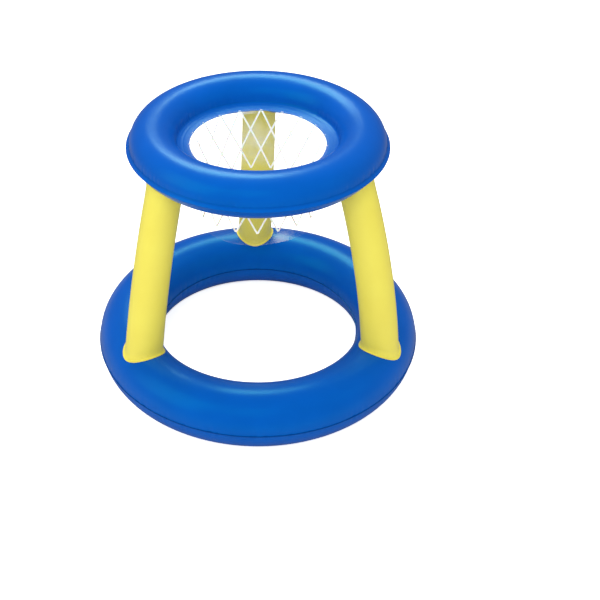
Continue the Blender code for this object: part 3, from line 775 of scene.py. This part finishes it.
def film_points(angle, down, inwards, lapped):
    """Points on the net's film, down from the throat along it; a negative down lies on the flange."""
    ring = top_ring()
    throat, height, length = net_span()
    corner = np.array((throat, height))
    band = unit((ring.inner_weld, INNER_DROOP_POWER * ring.inner_droop))
    skirt = unit((sizes().net_hem - throat, -length))
    bend = np.clip((down / THROAT_BEND + 1) / 2, 0, 1)[:, None]
    spot = ((corner + band * THROAT_BEND) * (1 - bend) ** 2 + corner * 2 * bend * (1 - bend)
            + (corner + skirt * THROAT_BEND) * bend ** 2)
    spot = spot + band * np.maximum(0, -down - THROAT_BEND)[:, None]
    spot = spot + skirt * np.maximum(0, down - THROAT_BEND)[:, None]
    share = np.maximum(0, down) / length
    sway = LONG_SWAY * wave(angle, 3, 2, 7) + SHORT_SWAY * wave(angle, 4, 8, 20) * share
    sway = sizes().net_sway * share ** SWAY_GROWTH * sway
    # Where the first end passes under the last, it lies a little inside the plain cone
    from_end = ((angle - LAP_AZIMUTH) % (2 * math.pi)) * throat
    step = LAP_STEP * np.maximum(0, 1 - from_end / LAP_RAMP) * np.clip(down / LAP_START, 0, 1) * lapped
    radius = spot[:, 0] + sway - inwards - step
    lift = flange_wave(angle, ring) * (1 - share)
    return np.stack((radius * np.cos(angle), radius * np.sin(angle), spot[:, 1] + lift), axis=-1)


def add_net_film(node):
    """The clear film: welded on the flange, turned down through the hoop, and lapped at its ends."""
    throat, _, length = net_span()
    lap = LAP / throat
    rows = np.concatenate((np.linspace(-NET_BAND, 2 * THROAT_BEND, BEND_ROWS, endpoint=False),
                           np.linspace(2 * THROAT_BEND, length, HANG_ROWS + 1)))

    def place(column, row):
        turn = (2 * math.pi + lap) * column / NET_COLUMNS
        angle = LAP_AZIMUTH + turn
        under = turn < 2 * math.pi - 0.5 * lap
        ripple = 1 + HEM_RIPPLE * wave(angle, 11, 3, 12) * np.maximum(0, rows[row]) / length
        return film_points(angle, rows[row] * ripple, 0, under)

    piece = rolled("net_film", NET_COLUMNS, len(rows) - 1, place)
    apply_modifier(piece, "SOLIDIFY", thickness=NET_FILM, offset=0)
    smooth(piece, 60)
    hand_over(piece, material_named("clear_vinyl_film"), node)


def add_net_lattice(node):
    """The printed diamonds: a flat pattern of lines, rolled onto the film's inner side."""
    throat, _, length = net_span()
    column = math.pi / NET_DIAMONDS
    line = sizes().net_line
    wide = column * (throat + sizes().net_hem) / 2
    down = (length - sizes().net_band + PRINT_RISE) / NET_HALF_ROWS
    piece = added(bpy.ops.mesh.primitive_circle_add, vertices=4, radius=1, fill_type="NGON",
                  location=(0, PRINT_RISE, 0))
    bpy.ops.transform.resize(value=(wide, down, 1))
    bpy.ops.object.transform_apply()
    piece.name = piece.data.name = "net_print"
    steps = ((2, (wide, -down)), (2, (0, -2 * down)), (NET_DIAMONDS, (2 * wide, 0)))
    for count, (x, y) in steps:
        apply_modifier(piece, "ARRAY", count=count, use_relative_offset=False, use_constant_offset=True,
                       constant_offset_displace=(x, y, 0), use_merge_vertices=True, merge_threshold=1e-5)
    select_only(piece)
    bpy.ops.object.mode_set(mode="EDIT")
    bpy.ops.mesh.select_all(action="SELECT")
    bpy.ops.mesh.inset(thickness=line / 2, use_individual=True, use_even_offset=True)
    bpy.ops.mesh.delete(type="FACE")
    cuts = (((0, PRINT_RISE, 0), (0, 1, 0)), ((0, PRINT_RISE - NET_HALF_ROWS * down, 0), (0, -1, 0)))
    for place, away in cuts:
        bpy.ops.mesh.select_all(action="SELECT")
        bpy.ops.mesh.bisect(plane_co=place, plane_no=away, clear_outer=True)
    bpy.ops.mesh.select_all(action="DESELECT")
    mesh = bmesh.from_edit_mesh(piece.data)
    for edge in mesh.edges:
        edge.select = edge.calc_length() > 4 * line
    bmesh.update_edit_mesh(piece.data)
    bpy.ops.mesh.subdivide(number_cuts=PRINT_CUTS)
    bpy.ops.object.mode_set(mode="OBJECT")

    def roll(points):
        angle = points[:, 0] / wide * column + PRINT_TURN
        angle = angle - PRINT_DRIFT * np.sin(angle)
        return film_points(angle, -points[:, 1], NET_FILM / 2 + INK, 1)

    reshape(piece, roll)
    close_up(piece, 1e-5)
    apply_modifier(piece, "SOLIDIFY", thickness=INK, offset=0)
    smooth(piece, 50)
    hand_over(piece, material_named("screen_ink_white"), node)


# Valves


def valve_seat(ring):
    """Matrix of the place in the middle of a packed facet that the ring's valve stands on."""
    turns = [math.pi * (VALVE_ARC_FACET + i) / PACKED_ARC_FACETS for i in (0, 1)]
    rise = ring.half_height - FILM - PACKED_WELD_FACE
    chord = math.cos(math.pi / PACKED_RING_FACETS)
    radii = [(ring.radius + ring.half_width * math.cos(turn)) * chord for turn in turns]
    heights = [ring.height + PACKED_WELD_FACE + FILM + rise * math.sin(turn) for turn in turns]
    up = Vector((radii[1] - radii[0], 0, heights[1] - heights[0])).normalized()
    out = Vector((up.z, 0, -up.x))
    seat = Matrix((up.cross(out), up, out)).transposed().to_4x4()
    seat.translation = (sum(radii) / 2, 0, sum(heights) / 2)
    return Matrix.Rotation((ring.valve_facet + 0.5) * 2 * math.pi / PACKED_RING_FACETS, 4, "Z") @ seat


def set_down(piece, seat, angle=30):
    """Soften a moulded piece's edges and set it on its seat."""
    apply_modifier(piece, "BEVEL", width=EDGE, segments=3, limit_method="ANGLE", angle_limit=EDGE_ANGLE)
    smooth(piece, angle)
    piece.matrix_world = seat
    bpy.ops.object.transform_apply()


def finger_tab(level):
    """Tab with a round end, out from under the plug's head."""
    start, end = TAB_ROOT * PLUG_RADIUS, PLUG_RADIUS + TAB_LENGTH - TAB_WIDTH / 2
    tab = added(bpy.ops.mesh.primitive_cylinder_add, vertices=48, radius=TAB_WIDTH / 2, depth=TAB_THICKNESS)

    def stretch(points):
        moved = points + (0, 0, level)
        moved[:, 1] = np.where(points[:, 1] > -1e-6, points[:, 1] + end, start)
        return moved

    reshape(tab, stretch)
    return tab


def add_strap(name, low, high):
    """Strap from the stem's rim out and back to the plug's head, rolled from a flat strip."""
    bend = RIM_RADIUS + SEAT_GAP + STRAP_REACH
    rim_end, head_end = RIM_RADIUS - STRAP_ROOT, PLUG_RADIUS - STRAP_ROOT
    half = (high - low) / 2
    turns = np.linspace(-math.pi / 2, math.pi / 2, STRAP_BEND_STEPS + 1)
    reach = np.concatenate((np.linspace(rim_end, bend, STRAP_STEPS, endpoint=False),
                            bend + half * np.cos(turns), np.linspace(bend, head_end, STRAP_STEPS + 1)[1:]))
    level = np.concatenate((np.full(STRAP_STEPS, low), (low + high) / 2 + half * np.sin(turns),
                            np.full(STRAP_STEPS, high)))
    spread = 1 + STRAP_FLARE * np.exp(-((reach - RIM_RADIUS) / STRAP_FADE) ** 2)

    def place(column, row):
        side = (row / STRAP_COLUMNS - 0.5) * STRAP_WIDTH * spread[column]
        return np.stack((side, -reach[column], level[column]), axis=-1)

    piece = rolled(name, len(reach) - 1, STRAP_COLUMNS, place)
    apply_modifier(piece, "SOLIDIFY", thickness=STRAP_THICKNESS, offset=0)
    return piece


def add_valve(name, ring):
    """Collar welded on the skin, stem, plug, strap and check flap on one axis."""
    seat = valve_seat(ring)
    sunk = seat @ Matrix.Translation((0, 0, -VALVE_SINK))
    rim = 2 * SEAT_GAP + COLLAR_THICKNESS
    head = rim + RIM_THICKNESS + SEAT_GAP
    collar = rim - SEAT_GAP
    sleeve = STEM_RADIUS + SEAT_GAP
    shank = STEM_BORE - SEAT_GAP
    face = [(radius * PLUG_RADIUS, head + rise * PLUG_THICKNESS) for radius, rise in PLUG_FACE]
    milk = material_named("moulded_vinyl_milky")
    outlines = {
        "collar": [(sleeve, -NECK_DEPTH), (sleeve + NECK_WALL, -NECK_DEPTH),
                   (sleeve + NECK_WALL, COLLAR_LIFT), (COLLAR_RADIUS, COLLAR_LIFT),
                   (COLLAR_RADIUS - COLLAR_DRAFT, collar - COLLAR_FALL), (sleeve + NECK_WALL, collar),
                   (sleeve, collar)],
        "stem": [(STEM_BORE, -STEM_DEPTH), (STEM_RADIUS, -STEM_DEPTH), (STEM_RADIUS, rim), (RIM_RADIUS, rim),
                 (RIM_RADIUS, rim + RIM_THICKNESS), (STEM_BORE, rim + RIM_THICKNESS)],
        "plug": [(0, head - PLUG_DEPTH), (shank - PLUG_TAPER, head - PLUG_DEPTH), (shank, head),
                 (PLUG_RADIUS, head), *face, (0, face[-1][1])],
        "flap": [(0, -FLAP_THICKNESS / 2), (FLAP_RADIUS, -FLAP_THICKNESS / 2),
                 (FLAP_RADIUS, FLAP_THICKNESS / 2), (0, FLAP_THICKNESS / 2)],
    }
    for part, outline in outlines.items():
        piece = turned(f"{name}_valve_{part}_piece", outline, VALVE_STEPS)
        if part == "plug":
            combine(piece, finger_tab(head + PLUG_THICKNESS / 2), "UNION")
        if part == "flap":
            reshape(piece, lambda points: points + (0, 0, -STEM_DEPTH - SEAT_GAP - FLAP_THICKNESS / 2))
        set_down(piece, seat if part == "flap" else sunk)
        body = BODY if part == "collar" else f"{name}_{part}"
        hand_over(piece, milk, f"{name}_valve_{part}", body)
    strap = add_strap(f"{name}_valve_strap_piece", rim + RIM_THICKNESS / 2, head + PLUG_THICKNESS / 2)
    set_down(strap, sunk, 50)
    hand_over(strap, milk, f"{name}_valve_strap", None)
    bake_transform(strap)


# Stage


def aim(thing, place, target):
    """Put a lamp or camera somewhere and point it at a target."""
    thing.location = place
    thing.rotation_mode = "QUATERNION"
    thing.rotation_quaternion = (Vector(target) - Vector(place)).to_track_quat("-Z", "Y")


def towards(azimuth, elevation):
    """The unit vector in a direction given in degrees."""
    azimuth, elevation = math.radians(azimuth), math.radians(elevation)
    return Vector((math.cos(elevation) * math.cos(azimuth), math.cos(elevation) * math.sin(azimuth),
                   math.sin(elevation)))


def seen_directly(add, path):
    """Node that is 1 for a ray from the camera, straight or through the clear film."""
    return add("Math", "MAXIMUM", i0=path.outputs["Is Camera Ray"],
               i1=path.outputs["Is Transmission Ray"])


def add_floor():
    """A wide pale floor that looks white and keeps the hoop's shadow."""
    floor = added(bpy.ops.mesh.primitive_circle_add, vertices=96, radius=40, fill_type="NGON")
    floor.name = "floor"
    material = bpy.data.materials.new("seamless_paper")
    add = emptied(material)
    path = add("LightPath")
    glow = add("Math", "MULTIPLY", i0=seen_directly(add, path), i1=FLOOR_GLOW)
    light = add("Emission", Color=WHITE, Strength=glow)
    # Glossy film sees the paper darker than it is, as if black flags stood round the hoop
    flagged = add("Mix", RGBA, i0=path.outputs["Is Glossy Ray"],
                  i6=(*bpy.context.scene.hoop_colours.floor, 1), i7=FLAG)
    paper = add("BsdfDiffuse", Color=flagged.outputs[2])
    add("OutputMaterial", Surface=add("AddShader", i0=light, i1=paper))
    floor.data.materials.append(material)


def add_lamps():
    """Soft lamps, two of which the film's gloss shows, and an even surround."""
    for lamp in LAMPS:
        light = added(bpy.ops.object.light_add, type="AREA")
        light.name = lamp.name
        light.data.size = lamp.size
        light.data.energy = lamp.watts
        light.visible_glossy = lamp.glints
        aim(light, AIM + lamp.distance * towards(lamp.azimuth, lamp.elevation), AIM)
    world = bpy.data.worlds.new("surround")
    bpy.context.scene.world = world
    add = emptied(world)
    path = add("LightPath")
    soft = add("MapRange", i0=path.outputs["Is Glossy Ray"], i3=SURROUND, i4=SURROUND_IN_GLOSS)
    power = add("MapRange", i0=seen_directly(add, path), i3=soft, i4=1)
    add("OutputWorld", Surface=add("Background", Color=WHITE, Strength=power))


def add_camera():
    """The photograph's view, from a little left of the front and well above."""
    image = 600
    focal = 1042.04
    axis_x, axis_y = 258.0, 348.35          # pixel that the camera looks at, straight ahead
    distance, azimuth, elevation = 2.0666, 267, 39.93
    sensor = 36
    camera = added(bpy.ops.object.camera_add)
    camera.name = "camera"
    camera.data.sensor_width = sensor
    camera.data.lens = sensor * focal / image
    camera.data.shift_x = (image / 2 - axis_x) / image
    camera.data.shift_y = (axis_y - image / 2) / image
    camera.data.clip_start, camera.data.clip_end = 0.05, 200
    aim(camera, distance * towards(azimuth, elevation), (0, 0, 0))
    bpy.context.scene.camera = camera


class HOOP_OT_rings(bpy.types.Operator):
    """Model the two rings, each of an upper and a lower skin"""
    bl_idname = "hoop.rings"
    bl_label = "Rings"

    def execute(self, context):
        """Add the four skins."""
        for name, ring in (("base_ring", base_ring()), ("top_ring", top_ring())):
            for part, side in (("lower", -1), ("upper", 1)):
                add_skin(f"{name}_{part}_film", ring, side, f"{name}_{part}_skin")
        return {"FINISHED"}


class HOOP_OT_legs(bpy.types.Operator):
    """Model the three legs"""
    bl_idname = "hoop.legs"
    bl_label = "Legs"

    def execute(self, context):
        """Add each leg at its place round the hoop."""
        for leg in LEGS:
            add_leg(leg)
        return {"FINISHED"}


class HOOP_OT_net(bpy.types.Operator):
    """Model the clear film of the net and its printed lattice"""
    bl_idname = "hoop.net"
    bl_label = "Net"

    def execute(self, context):
        """Add the film, then the print on it."""
        add_net_film("net_skirt")
        add_net_lattice("net_lattice")
        return {"FINISHED"}


class HOOP_OT_valves(bpy.types.Operator):
    """Model the two air valves"""
    bl_idname = "hoop.valves"
    bl_label = "Valves"

    def execute(self, context):
        """Add one valve to each ring."""
        add_valve("base", base_ring())
        add_valve("top", top_ring())
        return {"FINISHED"}


class HOOP_OT_stage(bpy.types.Operator):
    """Set up the floor, the soft lamps and the camera"""
    bl_idname = "hoop.stage"
    bl_label = "Stage"

    def execute(self, context):
        """Add what the hoop is shown with."""
        add_floor()
        add_lamps()
        add_camera()
        context.scene.view_settings.view_transform = "Standard"
        return {"FINISHED"}


class HOOP_PT_panel(bpy.types.Panel):
    """The hoop's pieces, sizes and colours"""
    bl_label = "Floating Hoop"
    bl_idname = "HOOP_PT_panel"
    bl_space_type = "VIEW_3D"
    bl_region_type = "UI"
    bl_category = "Hoop"

    def draw(self, context):
        """List the operators, then the sizes and colours."""
        for operator in OPERATORS:
            self.layout.operator(operator.bl_idname)
        for group in (context.scene.hoop_sizes, context.scene.hoop_colours):
            box = self.layout.box()
            for key in group.__annotations__:
                box.prop(group, key)


OPERATORS = (HOOP_OT_rings, HOOP_OT_legs, HOOP_OT_net, HOOP_OT_valves, HOOP_OT_stage)
CLASSES = (HoopSizes, HoopColours) + OPERATORS + (HOOP_PT_panel,)


def register():
    """Register the classes and hang the settings on the scene."""
    for cls in CLASSES:
        bpy.utils.register_class(cls)
    bpy.types.Scene.hoop_sizes = PointerProperty(type=HoopSizes)
    bpy.types.Scene.hoop_colours = PointerProperty(type=HoopColours)


def unregister():
    """Take it all off again."""
    del bpy.types.Scene.hoop_colours
    del bpy.types.Scene.hoop_sizes
    for cls in reversed(CLASSES):
        bpy.utils.unregister_class(cls)


def main():
    """Build the hoop and its stage."""
    register()
    for operator in OPERATORS:
        group, name = operator.bl_idname.split(".")
        getattr(getattr(bpy.ops, group), name)()


if __name__ == "__main__":
    main()
